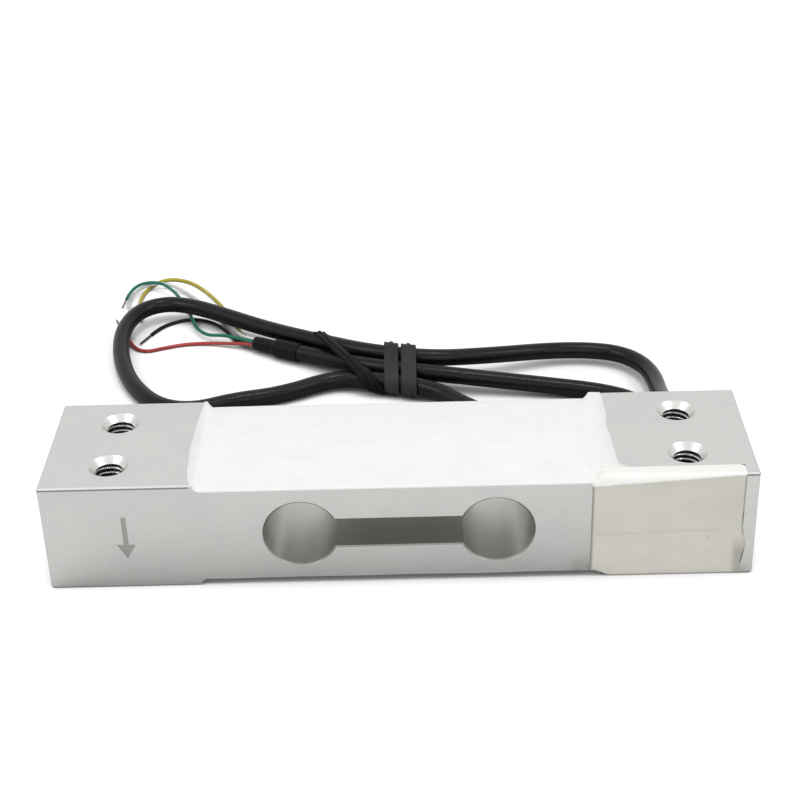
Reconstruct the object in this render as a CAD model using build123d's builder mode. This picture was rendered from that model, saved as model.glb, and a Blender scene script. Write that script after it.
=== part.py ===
# Single point load cell in millimetres: an aluminium beam with a binocular cut-out, strain gauges
# under silicone, a potted wiring notch, and a short tied cable with five bare-ended leads.
# Origin at the centre of the beam's underside, X along the beam, Y to the rear, Z up.
from build123d import *
import math
import os

os.makedirs("parts", exist_ok=True)

# Beam block
beam_length = 130.0
beam_width = 30.0
beam_height = 22.0
edge_break = 0.3
end_block_length = 28.0

# Shallow recess under and over the measuring section
recess_depth = 1.5
recess_corner = 1.45

# Binocular cut-out through the beam's width
bore_diameter = 13.5
bore_spacing = 35.8
slot_height = 5.8

# Four M6 holes, drawn at the thread's major diameter
thread_diameter = 6.0
thread_from_end = 12.0
thread_spacing_y = 15.0
countersink = 0.7

# Wiring notch in the front face
notch_from_end = 2.4
notch_length = 27.6
notch_depth = 3.0
notch_corner = 1.0

# Engraved arrow for the load direction
arrow_from_end = 15.0
arrow_shaft_width = 0.9
arrow_head_width = 3.4
arrow_head_height = 3.0
arrow_height = 9.0
engraving_depth = 0.15

# Strain gauges and their solder pads
gauge_length = 8.0
gauge_width = 6.0
gauge_backing = 0.12
grid_strand_width = 0.25
grid_strand_pitch = 0.5
grid_strand_count = 7
grid_length = 5.0
grid_height = 0.05
pad_size = 2.0
pad_height = 0.34
pad_spacing = 3.0

# Board and parts in the notch
board_from_notch = 1.6
board_length = 20.0
board_height = 15.0
board_thickness = 0.8
resistor_length = 3.2
resistor_width = 1.6
resistor_height = 0.6
resistor_pitch = 3.4
resistor_count = 3
resistor_from_board = 12.6
lead_joint_length = 1.6
lead_joint_width = 1.4
lead_joint_height = 0.85
lead_joint_from_board = 16.2
lead_joint_pitch = 3.0
wire_joint_length = 1.0
wire_joint_height = 0.5
wire_joint_from_board = 3.4
wire_joint_pitch = 2.5

# Fine wires between the gauges and the board
fine_wire_diameter = 0.3
fine_wire_lift = 0.03
fine_wire_spacing = 0.6
fine_wire_margin = 0.3
fine_wire_first_runs = (3.2, 1.6)
fine_wire_slant = 5.2
fine_wire_turn_in = 2.0
fine_wire_drop = 0.8

# Cable and its leads
cable_diameter = 3.8
lead_diameter = 0.8
lead_ring_radius = 0.75
lead_straight = 8.4
cable_hole_diameter = 4.2
cable_hole_shift = 0.2
cable_inner_end = -9.0
lead_turn_in = 2.4
lead_step_in = 1.1
tip_diameter = 0.5
corner_share = 0.45

# Silicone
coat_edge = 0.3
coat_crown = 0.9
coat_over_right = 2.5
coat_lip = 0.2
coat_foot = 2.6
fill_margin = 0.1
fill_left_step = 1.1
fill_step_length = 5.0
fill_edge_round = 0.5
wire_cover = 0.06
bead_radius = 3.4
bead_tip_radius = 2.4
bead_length = 1.6
bead_gap = 0.05

# Shrink sleeve over the end of the jacket
sleeve_wall = 0.25
sleeve_overlap = 6.0
sleeve_neck = 1.2
sleeve_reach = 6.3
sleeve_neck_radius = 1.6
sleeve_gap = 0.05
sleeve_bore_radius = 1.2

# Twist tie round the three strands
tie_width = 3.2
tie_thickness = 0.6
tie_gap = 0.3
tie_band_starts = (-3.5, 0.3)
tie_bridge = (1.6, 2.0, 0.4)
strap_width = 3.2
strap_start = (-16.8, 69.8)
strap_finish = (-5.2, 52.2)
strap_hold = 1.3

# Places worked out from the sizes above
mid_height = beam_height / 2
rear_y = beam_width / 2
front_y = -beam_width / 2
recess_length = beam_length - 2 * end_block_length
thread_spacing_x = beam_length - 2 * thread_from_end
arrow_x = arrow_from_end - beam_length / 2
notch_right = beam_length / 2 - notch_from_end
notch_left = notch_right - notch_length
fill_step_end = notch_left + fill_step_length
board_left = notch_left + board_from_notch
resistor_x = board_left + resistor_from_board
lead_joint_left = board_left + lead_joint_from_board
notch_floor_y = front_y + notch_depth
recess_floor = beam_height - recess_depth
bore_x = bore_spacing / 2
cable_x = (notch_right + thread_spacing_x / 2 + thread_diameter / 2) / 2 + cable_hole_shift
beam_middle = Plane.XY.offset(mid_height)

# Route of the cable, from its end inside the beam to the end of its jacket
cable_route = [
    (59.5, -9.0, 11.0),
    (59.5, 7.0, 11.0),
    (59.48, 23.0, 10.98),
    (58.0, 34.0, 8.2),
    (55.6, 44.0, 5.2),
    (54.4, 54.0, 3.8),
    (51.6, 62.2, 3.2),
    (44.8, 67.0, 3.0),
    (34.0, 67.0, 3.1),
    (20.0, 62.8, 4.5),
    (7.0, 60.2, 5.5),
    (-7.0, 64.4, 5.5),
    (-18.0, 71.0, 4.9),
    (-31.0, 80.2, 4.2),
    (-42.0, 87.2, 4.1),
    (-49.0, 91.2, 4.1),
    (-55.5, 93.6, 4.0),
    (-61.2, 91.6, 3.9),
    (-64.4, 86.2, 3.6),
    (-65.3, 78.5, 3.1),
    (-64.2, 70.0, 2.5),
    (-61.4, 61.0, 2.05),
    (-57.2, 53.2, 1.95),
    (-51.6, 47.2, 1.95),
    (-44.6, 45.8, 1.95),
    (-36.5, 49.6, 1.95),
    (-26.0, 51.8, 1.95),
    (-15.0, 57.8, 2.3),
    (-7.0, 56.0, 2.9),
    (7.0, 51.8, 2.9),
    (14.0, 44.8, 2.1),
    (22.5, 38.5, 1.95),
    (30.0, 32.0, 1.95),
    (37.5, 27.6, 1.95),
    (45.5, 27.4, 1.95),
    (51.4, 32.0, 1.95),
    (53.4, 39.4, 1.95),
    (50.6, 46.0, 1.95),
    (43.6, 50.0, 1.95),
    (33.0, 52.2, 2.4),
    (20.0, 54.0, 3.3),
    (7.0, 55.9, 4.2),
    (-7.0, 60.1, 4.2),
    (-18.0, 67.2, 3.1),
    (-28.2, 72.7, 2.35),
]

# The three strands where they cross the tie at x = 0, front one first, and their shared slope
tie_strands = [(53.9, 2.9), (58.0, 4.2), (62.3, 5.5)]
tie_slope = -0.3

# Places of the five leads round the jacket's middle, in degrees, and their routes from the point
# where they leave the sleeve's line to the end of their insulation
lead_angles = {"white": 57, "green": 129, "red": 201, "black": 273, "yellow": 345}
lead_routes = {
    "white": [
        (-37.6, 80.2, 1.9),
        (-39.3, 84.4, 1.2),
        (-42.2, 89.8, 0.6),
        (-46.2, 96.2, 0.45),
        (-50.6, 102.8, 0.5),
        (-54.9, 107.9, 0.9),
        (-59.8, 110.6, 1.4),
        (-64.2, 108.9, 1.35),
        (-66.9, 104.8, 0.7),
        (-67.0, 100.0, 0.45),
        (-65.7, 96.6, 0.45),
    ],
    "green": [
        (-38.9, 78.7, 2.2),
        (-41.9, 80.8, 1.8),
        (-45.6, 81.4, 1.5),
        (-48.6, 85.4, 1.35),
        (-50.6, 92.0, 1.4),
        (-53.0, 98.6, 1.6),
        (-56.4, 104.6, 2.2),
        (-60.0, 108.8, 2.35),
        (-64.4, 108.9, 2.3),
        (-67.3, 105.4, 1.8),
        (-68.7, 101.6, 1.4),
    ],
    "red": [
        (-39.6, 77.8, 1.1),
        (-44.6, 79.2, 0.6),
        (-50.4, 79.3, 0.45),
        (-55.4, 77.6, 0.45),
        (-59.6, 75.8, 0.45),
        (-62.9, 78.4, 0.45),
        (-65.4, 84.4, 0.45),
    ],
    "black": [
        (-38.2, 79.4, 0.7),
        (-40.0, 82.4, 0.45),
        (-41.9, 86.2, 0.45),
        (-45.4, 90.3, 0.45),
        (-50.2, 92.2, 0.45),
        (-54.8, 90.4, 0.45),
        (-57.8, 87.4, 0.45),
        (-59.2, 84.4, 0.45),
    ],
    "yellow": [
        (-37.0, 80.8, 1.1),
        (-38.4, 85.6, 0.6),
        (-40.8, 92.4, 0.45),
        (-44.6, 100.2, 0.45),
        (-49.0, 107.8, 0.45),
        (-53.6, 113.0, 0.45),
        (-58.8, 114.6, 0.45),
        (-62.4, 111.4, 0.45),
        (-64.1, 106.0, 0.45),
        (-64.4, 100.0, 0.45),
        (-63.4, 95.0, 0.45),
    ],
}
tip_lengths = {"white": 4.0, "green": 4.0, "red": 9.0, "black": 5.0, "yellow": 4.0}


def save(piece, name):
    """Label one finished piece and write it as a STEP file."""
    piece.label = name
    export_step(piece, f"parts/{name}.step")


def corner_radii(route):
    """One radius for each corner, as large as its two runs allow."""
    radii = []
    for before, corner, after in zip(route, route[1:], route[2:]):
        run_in = corner - before
        run_out = after - corner
        half_turn = math.radians(run_in.get_angle(run_out)) / 2
        radii.append(corner_share * min(run_in.length, run_out.length) / math.tan(half_turn))
    return radii


def tube(points, diameter):
    """A round cord along straight runs joined by tangent arcs."""
    route = [Vector(*point) for point in points]
    with BuildPart() as cord:
        with BuildLine() as path:
            FilletPolyline(*route, radius=corner_radii(route))
        with BuildSketch(Plane(path.line @ 0, z_dir=path.line % 0)):
            Circle(diameter / 2)
        sweep(path=path.line)
    return cord.part


def route_length(points):
    """Length of the path that a tube follows."""
    route = [Vector(*point) for point in points]
    with BuildLine() as path:
        FilletPolyline(*route, radius=corner_radii(route))
    return sum(edge.length for edge in path.line.edges())


def group(solids, name):
    """Several separate solids kept in one node."""
    with BuildPart() as node:
        add(solids)
    save(node.part, name)


def mirrored(solids):
    """The same solids on the other side of the beam's middle height."""
    return [mirror(solid, about=beam_middle, mode=Mode.PRIVATE) for solid in solids]


# Beam body
with BuildPart() as beam_body:
    with BuildSketch(Plane.XZ):
        with Locations((0, mid_height)):
            Rectangle(beam_length, beam_height)
        with Locations((0, 0), (0, beam_height)):
            RectangleRounded(recess_length, 2 * recess_depth, recess_corner, mode=Mode.SUBTRACT)
        with Locations((-bore_x, mid_height), (bore_x, mid_height)):
            Circle(bore_diameter / 2, mode=Mode.SUBTRACT)
        with Locations((0, mid_height)):
            Rectangle(bore_spacing, slot_height, mode=Mode.SUBTRACT)
    extrude(amount=beam_width / 2, both=True)

    long_edges = [
        edge
        for edge in beam_body.edges().filter_by(Axis.X)
        if abs(edge.center().X) > recess_length / 2
    ]
    end_edges = beam_body.faces().sort_by(Axis.X)[0].edges() + beam_body.faces().sort_by(Axis.X)[-1].edges()
    cutout_edges = [
        edge
        for edge in beam_body.edges()
        if abs(abs(edge.center().Y) - rear_y) < 0.01
        and abs(edge.center().X) < bore_x + bore_diameter / 2 + 0.1
        and abs(edge.center().Z - mid_height) < bore_diameter / 2 + 0.1
    ]
    chamfer(long_edges + list(end_edges) + cutout_edges, length=edge_break)

    with BuildSketch(Plane.XY.offset(beam_height)):
        with GridLocations(thread_spacing_x, thread_spacing_y, 2, 2):
            Circle(thread_diameter / 2)
    extrude(amount=-beam_height, mode=Mode.SUBTRACT)
    thread_mouths = [
        edge
        for edge in beam_body.edges().filter_by(GeomType.CIRCLE)
        if abs(edge.radius - thread_diameter / 2) < 0.01 and edge.arc_center.Z in (0.0, beam_height)
    ]
    chamfer(thread_mouths, length=countersink)

    with BuildSketch(Plane.XY):
        with Locations(((notch_left + notch_right) / 2, front_y)):
            RectangleRounded(notch_right - notch_left, 2 * notch_depth, notch_corner)
    extrude(amount=beam_height, mode=Mode.SUBTRACT)

    with BuildSketch(Plane.XZ.offset(-rear_y)):
        with Locations((cable_x, mid_height)):
            Circle(cable_hole_diameter / 2)
    extrude(amount=beam_width, mode=Mode.SUBTRACT)

    with BuildSketch(Plane.XZ.offset(-front_y)):
        with Locations((arrow_x, mid_height + arrow_head_height / 2)):
            Rectangle(arrow_shaft_width, arrow_height - arrow_head_height)
        with BuildLine():
            head_top = mid_height - arrow_height / 2 + arrow_head_height
            Polyline(
                (arrow_x - arrow_head_width / 2, head_top),
                (arrow_x, mid_height - arrow_height / 2),
                (arrow_x + arrow_head_width / 2, head_top),
                close=True,
            )
        make_face()
    extrude(amount=-engraving_depth, mode=Mode.SUBTRACT)
save(beam_body.part, "beam_body")


# Strain gauges over and under the two bores
def gauge(centre_x):
    """Backing film with a raised grid, on the floor of the upper recess."""
    with BuildPart() as film:
        with BuildSketch(Plane.XY.offset(recess_floor)):
            with Locations((centre_x, 0)):
                Rectangle(gauge_length, gauge_width)
        extrude(amount=gauge_backing)
        with BuildSketch(Plane.XY.offset(recess_floor + gauge_backing)):
            with Locations((centre_x, 0)):
                with GridLocations(0, grid_strand_pitch, 1, grid_strand_count):
                    Rectangle(grid_length, grid_strand_width)
        extrude(amount=grid_height)
    return film.part


def solder_pads(centre_x):
    """The two pads at the end of one gauge."""
    with BuildPart() as pads:
        with BuildSketch(Plane.XY.offset(recess_floor)):
            with Locations((centre_x + (gauge_length + pad_size) / 2, 0)):
                with GridLocations(0, pad_spacing, 1, 2):
                    Rectangle(pad_size, pad_size)
        extrude(amount=pad_height)
    return pads.part


gauges_top = [gauge(-bore_x), gauge(bore_x)]
gauges_bottom = mirrored(gauges_top)
for level, gauges in (("top", gauges_top), ("bottom", gauges_bottom)):
    for side, film in zip(("left", "right"), gauges):
        save(film, f"strain_gauge_{level}_{side}")

pads_top = [solder_pads(-bore_x), solder_pads(bore_x)]
pads_bottom = mirrored(pads_top)
group(pads_top, "solder_pads_top")
group(pads_bottom, "solder_pads_bottom")

# Board glued to the floor of the notch
board_front_y = notch_floor_y - board_thickness
with BuildPart() as trim_board:
    with BuildSketch(Plane.XZ.offset(-notch_floor_y)):
        with Locations((board_left + board_length / 2, mid_height)):
            Rectangle(board_length, board_height)
    extrude(amount=board_thickness)
save(trim_board.part, "trim_board")

with BuildPart() as trim_resistors:
    with BuildSketch(Plane.XZ.offset(-board_front_y)):
        with Locations((resistor_x, mid_height)):
            with GridLocations(0, resistor_pitch, 1, resistor_count):
                Rectangle(resistor_length, resistor_width)
    extrude(amount=resistor_height)
save(trim_resistors.part, "trim_resistors")

# Solder joints: a column for the cable's leads, a row along each long edge for the fine wires
wire_joint_z = mid_height + board_height / 2 - wire_joint_length
wire_joint_x = [board_left + wire_joint_from_board + wire_joint_pitch * index for index in range(4)]
with BuildPart() as lead_joints:
    with BuildSketch(Plane.XZ.offset(-board_front_y)):
        with Locations((lead_joint_left + lead_joint_length / 2, mid_height)):
            with GridLocations(0, lead_joint_pitch, 1, len(lead_routes)):
                Rectangle(lead_joint_length, lead_joint_width)
    extrude(amount=lead_joint_height)
save(lead_joints.part, "lead_solder_joints")

with BuildPart() as wire_joints:
    with BuildSketch(Plane.XZ.offset(-board_front_y)):
        for height in (wire_joint_z, beam_height - wire_joint_z):
            with Locations(*[(place, height) for place in wire_joint_x]):
                Rectangle(wire_joint_length, wire_joint_length)
    extrude(amount=wire_joint_height)
save(wire_joints.part, "wire_solder_joints")

# Fine wires from the pads to the board
fine_z = recess_floor + fine_wire_diameter / 2 + fine_wire_lift
fine_joint_y = board_front_y - fine_wire_diameter / 2 - fine_wire_lift


def fine_wire_route(index):
    """Route of one fine wire: two for the right gauge, then two for the left gauge."""
    gauge_x = bore_x if index < 2 else -bore_x
    pad_y = (pad_spacing if index % 2 == 0 else -pad_spacing) / 2
    start_x = gauge_x + gauge_length / 2 + pad_size
    bend_x = start_x + fine_wire_first_runs[index % 2]
    lane_y = notch_floor_y - fine_wire_margin - fine_wire_spacing * index
    lane_x = bend_x + fine_wire_slant
    joint_x = wire_joint_x[index]
    joint_top = wire_joint_z + wire_joint_length / 2
    return [
        (start_x, pad_y, fine_z),
        (bend_x, pad_y, fine_z),
        (lane_x, lane_y, fine_z),
        (joint_x - fine_wire_turn_in, lane_y, fine_z),
        (joint_x, fine_joint_y, fine_z - fine_wire_drop),
        (joint_x, fine_joint_y, joint_top),
    ]


fine_routes = [fine_wire_route(index) for index in range(4)]
fine_wires_top = [tube(route, fine_wire_diameter) for route in fine_routes]
fine_wires_bottom = mirrored(fine_wires_top)
group(fine_wires_top, "gauge_wires_top")
group(fine_wires_bottom, "gauge_wires_bottom")

# Leads inside the beam, from the jacket's inner end to the board
lead_end_x = lead_joint_left + lead_joint_length
lead_joint_y = board_front_y - lead_diameter / 2 - fine_wire_lift
lead_layer_y = {"near": lead_joint_y, "far": lead_joint_y - lead_diameter - wire_cover}
inner_leads_plan = {
    "white": (90, "near", 2),
    "green": (162, "near", 1),
    "red": (18, "far", 0),
    "black": (-126, "near", -1),
    "yellow": (-54, "far", -2),
}


def inner_lead_route(angle, layer, row):
    """Route of one lead from the jacket's end round into the notch and to its joint."""
    start_x = cable_x + lead_ring_radius * math.cos(math.radians(angle))
    start_z = mid_height + lead_ring_radius * math.sin(math.radians(angle))
    joint_z = mid_height + row * lead_joint_pitch
    layer_y = lead_layer_y[layer]
    route = [
        (start_x, cable_inner_end, start_z),
        (start_x, layer_y, start_z),
        (lead_end_x + lead_turn_in, layer_y, joint_z),
    ]
    if layer == "far":
        route.append((lead_end_x + lead_step_in, lead_joint_y, joint_z))
    return route + [(lead_end_x, lead_joint_y, joint_z)]


inner_routes = {colour: inner_lead_route(*plan) for colour, plan in inner_leads_plan.items()}
for colour, route in inner_routes.items():
    save(tube(route, lead_diameter), f"inner_lead_{colour}")

# Silicone coats over the gauges
with BuildPart() as top_sealant:
    foot_x = recess_length / 2 - coat_foot
    with BuildSketch(Plane.YZ):
        with BuildLine():
            Polyline(
                (rear_y, recess_floor + coat_edge),
                (rear_y, recess_floor),
                (front_y, recess_floor),
                (front_y, recess_floor + coat_edge),
            )
            ThreePointArc(
                (front_y, recess_floor + coat_edge),
                (0, recess_floor + coat_crown),
                (rear_y, recess_floor + coat_edge),
            )
        make_face()
    extrude(amount=foot_x, both=True)
    for side in (-1, 1):
        with BuildSketch(Plane.XZ):
            with BuildLine():
                Polyline(
                    (side * foot_x, recess_floor),
                    (side * foot_x, recess_floor + coat_edge),
                    (side * recess_length / 2, beam_height),
                    (side * recess_length / 2, recess_floor),
                    close=True,
                )
            make_face()
        extrude(amount=beam_width / 2, both=True)
    with BuildSketch(Plane.XZ):
        with BuildLine():
            Polyline(
                (foot_x, recess_floor + coat_edge),
                (recess_length / 2, beam_height + coat_lip),
                (recess_length / 2 + coat_over_right - coat_lip, beam_height + coat_lip),
                (recess_length / 2 + coat_over_right, beam_height),
                (recess_length / 2, beam_height),
                close=True,
            )
        make_face()
    extrude(amount=beam_width / 2, both=True)
    with Locations(((notch_left + notch_right) / 2, front_y, mid_height)):
        Box(notch_right - notch_left, 2 * notch_depth, 2 * beam_height, mode=Mode.SUBTRACT)
    add(beam_body.part, mode=Mode.SUBTRACT)
    add(gauges_top + pads_top, mode=Mode.SUBTRACT)
    add([tube(route, fine_wire_diameter + 2 * wire_cover) for route in fine_routes], mode=Mode.SUBTRACT)
save(top_sealant.part, "top_sealant")

with BuildPart() as bottom_sealant:
    with BuildSketch(Plane.YZ):
        with BuildLine():
            Polyline(
                (rear_y, recess_depth - coat_edge),
                (rear_y, recess_depth),
                (front_y, recess_depth),
                (front_y, recess_depth - coat_edge),
            )
            ThreePointArc(
                (front_y, recess_depth - coat_edge),
                (0, recess_depth - coat_crown),
                (rear_y, recess_depth - coat_edge),
            )
        make_face()
    extrude(amount=foot_x, both=True)
    with Locations(((notch_left + notch_right) / 2, front_y, mid_height)):
        Box(notch_right - notch_left, 2 * notch_depth, 2 * beam_height, mode=Mode.SUBTRACT)
    add(gauges_bottom + pads_bottom, mode=Mode.SUBTRACT)
    channels = [tube(route, fine_wire_diameter + 2 * wire_cover) for route in fine_routes]
    add(mirrored(channels), mode=Mode.SUBTRACT)
save(bottom_sealant.part, "bottom_sealant")

# Silicone that fills the notch round the board
with BuildPart() as side_sealant:
    with BuildSketch(Plane.XZ.offset(-notch_floor_y)):
        with BuildLine():
            Polyline(
                (notch_left, fill_left_step),
                (notch_left, beam_height - fill_left_step),
                (fill_step_end, beam_height - fill_margin),
                (notch_right, beam_height - fill_margin),
                (notch_right, fill_margin),
                (fill_step_end, fill_margin),
                close=True,
            )
        make_face()
    extrude(amount=notch_depth)
    front_long_edges = side_sealant.faces().sort_by(Axis.Y)[0].edges().filter_by(Axis.X)
    fillet(front_long_edges, radius=fill_edge_round)
    add(beam_body.part, mode=Mode.SUBTRACT)
    add([trim_board.part, trim_resistors.part, lead_joints.part, wire_joints.part], mode=Mode.SUBTRACT)
    add([tube(route, lead_diameter + 2 * wire_cover) for route in inner_routes.values()], mode=Mode.SUBTRACT)
    add([tube(route, fine_wire_diameter + 2 * wire_cover) for route in fine_routes], mode=Mode.SUBTRACT)
    add(mirrored(channels), mode=Mode.SUBTRACT)
save(side_sealant.part, "side_sealant")

# Bead of silicone round the cable at the rear face
with BuildPart() as exit_bead:
    with BuildSketch(Plane(origin=(cable_x, rear_y, mid_height), x_dir=(1, 0, 0), z_dir=(0, 0, 1))):
        with BuildLine():
            Polyline(
                (cable_diameter / 2 + bead_gap, 0),
                (bead_radius, 0),
                (bead_tip_radius, bead_length * 0.6),
                (bead_tip_radius - 0.2, bead_length),
                (cable_diameter / 2 + bead_gap, bead_length),
                close=True,
            )
        make_face()
    revolve(axis=Axis((cable_x, rear_y, mid_height), (0, 1, 0)))
save(exit_bead.part, "exit_bead")

# Cable jacket
cable = tube(cable_route, cable_diameter)
save(cable, "cable_jacket")

# Shrink sleeve over the jacket's end
jacket_end = Vector(*cable_route[-1])
sleeve_direction = (jacket_end - Vector(*cable_route[-2])).normalized()
sleeve_side = sleeve_direction.cross(Vector(0, 0, 1)).normalized()
sleeve_up = sleeve_side.cross(sleeve_direction)
with BuildPart() as shrink_sleeve:
    with BuildSketch(Plane(jacket_end, x_dir=sleeve_direction, z_dir=sleeve_side)):
        with BuildLine():
            Polyline(
                (-sleeve_overlap, cable_diameter / 2 + sleeve_gap),
                (-sleeve_overlap, cable_diameter / 2 + sleeve_wall),
                (0, cable_diameter / 2 + sleeve_wall),
                (sleeve_neck, sleeve_neck_radius),
                (sleeve_reach, sleeve_neck_radius),
                (sleeve_reach, sleeve_bore_radius),
                (0, sleeve_bore_radius),
                (0, cable_diameter / 2 + sleeve_gap),
                close=True,
            )
        make_face()
    revolve(axis=Axis(jacket_end, sleeve_direction))
save(shrink_sleeve.part, "shrink_sleeve")



def whole_lead_route(colour):
    """Route of one loose lead from its place in the jacket's end."""
    angle = math.radians(lead_angles[colour])
    across = sleeve_side * math.cos(angle) + sleeve_up * math.sin(angle)
    start = jacket_end + across * lead_ring_radius
    return [tuple(start), tuple(start + sleeve_direction * lead_straight)] + lead_routes[colour]


# Loose leads and their tinned tips
loose_leads = {colour: whole_lead_route(colour) for colour in lead_routes}
for colour, route in loose_leads.items():
    save(tube(route, lead_diameter), f"lead_{colour}")
    insulation_end = Vector(*route[-1])
    tip_direction = (insulation_end - Vector(*route[-2])).normalized()
    with BuildPart() as tip:
        with BuildSketch(Plane(insulation_end, z_dir=tip_direction)):
            Circle(tip_diameter / 2)
        extrude(amount=tip_lengths[colour])
    save(tip.part, f"tip_{colour}")

# Twist tie: the free tail lies slantwise over the strands and turns down in front of them
tie_direction = Vector(1, tie_slope, 0)
tie_inner = cable_diameter / 2 + tie_gap
tie_outer = tie_inner + tie_thickness
front_y_at_tie, front_z_at_tie = tie_strands[0]
strap_run = Vector(strap_finish[0] - strap_start[0], strap_finish[1] - strap_start[1], 0)
strap_across = strap_run.normalized().rotate(Axis.Z, 90) * (strap_width / 2)
tail_reach = 6.0
tail_left = strap_start[0]
tail_right = tie_band_starts[0] + 0.4
strap_profile = [
    (0.0, 7.6),
    (1.0, 7.3),
    (2.6, 7.5),
    (7.5, 6.8),
    (12.5, 6.0),
    (14.5, 5.5),
    (16.4, 5.35),
]
with BuildPart() as tie_tail:
    with BuildSketch(Plane.YZ.offset(tail_left)):
        with Locations((front_y_at_tie + tie_slope * tail_left, front_z_at_tie)):
            Circle(tie_outer)
            Circle(tie_inner, mode=Mode.SUBTRACT)
        with Locations((front_y_at_tie + tie_slope * tail_left + strap_hold, front_z_at_tie)):
            Rectangle(2 * tie_outer, 2 * tie_outer, align=(Align.MAX, Align.CENTER), mode=Mode.INTERSECT)
    extrude(amount=(tail_right - tail_left) * tie_direction.length, dir=tie_direction)
    with BuildSketch(Plane.XY):
        with BuildLine():
            beyond = Vector(*strap_finish, 0) + strap_run.normalized() * tail_reach
            Polyline(
                Vector(*strap_start, 0) - strap_across,
                beyond - strap_across,
                Vector(tail_right + tail_reach, beyond.Y, 0),
                Vector(tail_right + tail_reach, strap_finish[1] + tail_reach / 4, 0),
                Vector(*strap_finish, 0) + strap_across,
                Vector(*strap_start, 0) + strap_across,
                close=True,
            )
        make_face()
    extrude(amount=beam_height, mode=Mode.INTERSECT)
    with BuildSketch(Plane((*strap_start, 0), x_dir=strap_run, z_dir=strap_run.cross(Vector(0, 0, 1)))):
        with BuildLine():
            Polyline(*strap_profile)
        trace(line_width=tie_thickness)
    extrude(amount=strap_width / 2, both=True)

# The two bands round all three strands, joined by a short bridge below
with BuildPart() as twist_tie:
    for start_x in tie_band_starts:
        with BuildSketch(Plane.YZ.offset(start_x)):
            with Locations(*[(y + tie_slope * start_x, z) for y, z in tie_strands]):
                Circle(tie_outer)
            make_hull()
        extrude(amount=tie_width * tie_direction.length, dir=tie_direction)
    for start_x in tie_band_starts:
        with BuildSketch(Plane.YZ.offset(start_x)):
            with Locations(*[(y + tie_slope * start_x, z) for y, z in tie_strands]):
                Circle(tie_inner)
            make_hull()
        extrude(amount=tie_width * tie_direction.length, dir=tie_direction, mode=Mode.SUBTRACT)
    bridge_x = tie_band_starts[1]
    bridge_z = front_z_at_tie - (tie_inner + tie_outer) / 2
    with Locations((bridge_x, front_y_at_tie + tie_slope * bridge_x, bridge_z)):
        Box(*tie_bridge)
    add(tie_tail.part)
save(twist_tie.part, "twist_tie")

# Cord radii and lengths
for name, route in {"cable": cable_route, **loose_leads}.items():
    radii = corner_radii([Vector(*point) for point in route])
    print(f"{name}: length {route_length(route):.1f}, smallest radius {min(radii):.1f}")
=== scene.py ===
import bpy
import math
from mathutils import Matrix, Vector, noise


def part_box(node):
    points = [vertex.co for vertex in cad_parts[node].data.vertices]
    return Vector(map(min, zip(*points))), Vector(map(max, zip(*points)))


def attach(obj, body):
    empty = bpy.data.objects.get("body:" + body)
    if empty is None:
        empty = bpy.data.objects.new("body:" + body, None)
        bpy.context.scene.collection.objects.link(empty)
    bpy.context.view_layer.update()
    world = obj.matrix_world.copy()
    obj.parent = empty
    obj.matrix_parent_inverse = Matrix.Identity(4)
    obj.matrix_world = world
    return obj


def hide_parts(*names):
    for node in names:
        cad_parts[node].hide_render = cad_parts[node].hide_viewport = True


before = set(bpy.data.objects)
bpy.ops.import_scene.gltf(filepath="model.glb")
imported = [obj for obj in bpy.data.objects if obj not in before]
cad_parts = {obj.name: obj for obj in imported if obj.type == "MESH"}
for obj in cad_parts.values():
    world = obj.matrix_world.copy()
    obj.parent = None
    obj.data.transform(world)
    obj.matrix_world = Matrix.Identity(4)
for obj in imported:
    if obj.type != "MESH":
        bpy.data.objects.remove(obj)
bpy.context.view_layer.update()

MM = 0.001
scene = bpy.context.scene

# The photograph's view: focal length and middle of the picture in its own pixels
PICTURE = 800
FOCAL_PIXELS = 1659.0
SENSOR_MM = 36.0
CAMERA_PLACE = Vector((5.0, -264.2, 184.1)) * MM
CAMERA_YAW = math.radians(0.93)
CAMERA_PITCH = math.radians(30.24)
CAMERA_ROLL = math.radians(-1.84)

# Sizes that the solids share
beam_low, beam_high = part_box("beam_body")
BEAM_HEIGHT = beam_high.z
MIDDLE_Z = 0.011
FRONT_Y, REAR_Y = beam_low.y, beam_high.y
RECESS_HALF_LENGTH = 0.037
RECESS_DEPTH = 0.0015
RECESS_CORNER = 0.00145
NOTCH_LEFT, NOTCH_RIGHT = 0.035, 0.0626
NOTCH_FLOOR_Y = FRONT_Y + 0.003
CABLE_DIAMETER = 0.0038
LEAD_DIAMETER = 0.0008
LEAD_RING_RADIUS = 0.00075
LEAD_STRAIGHT = 0.0084
TIP_RADIUS = 0.00025
TIP_TWIST_PITCH = 0.0016
TIP_STRANDS = 7
THREAD_PITCH = 0.001
THREAD_ROOT_RADIUS = 0.003
THREAD_CREST_RADIUS = 0.00248
THREAD_X, THREAD_Y = 0.053, 0.0075
THREAD_PLACES = [(x, y) for x in (-THREAD_X, THREAD_X) for y in (-THREAD_Y, THREAD_Y)]

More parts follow.
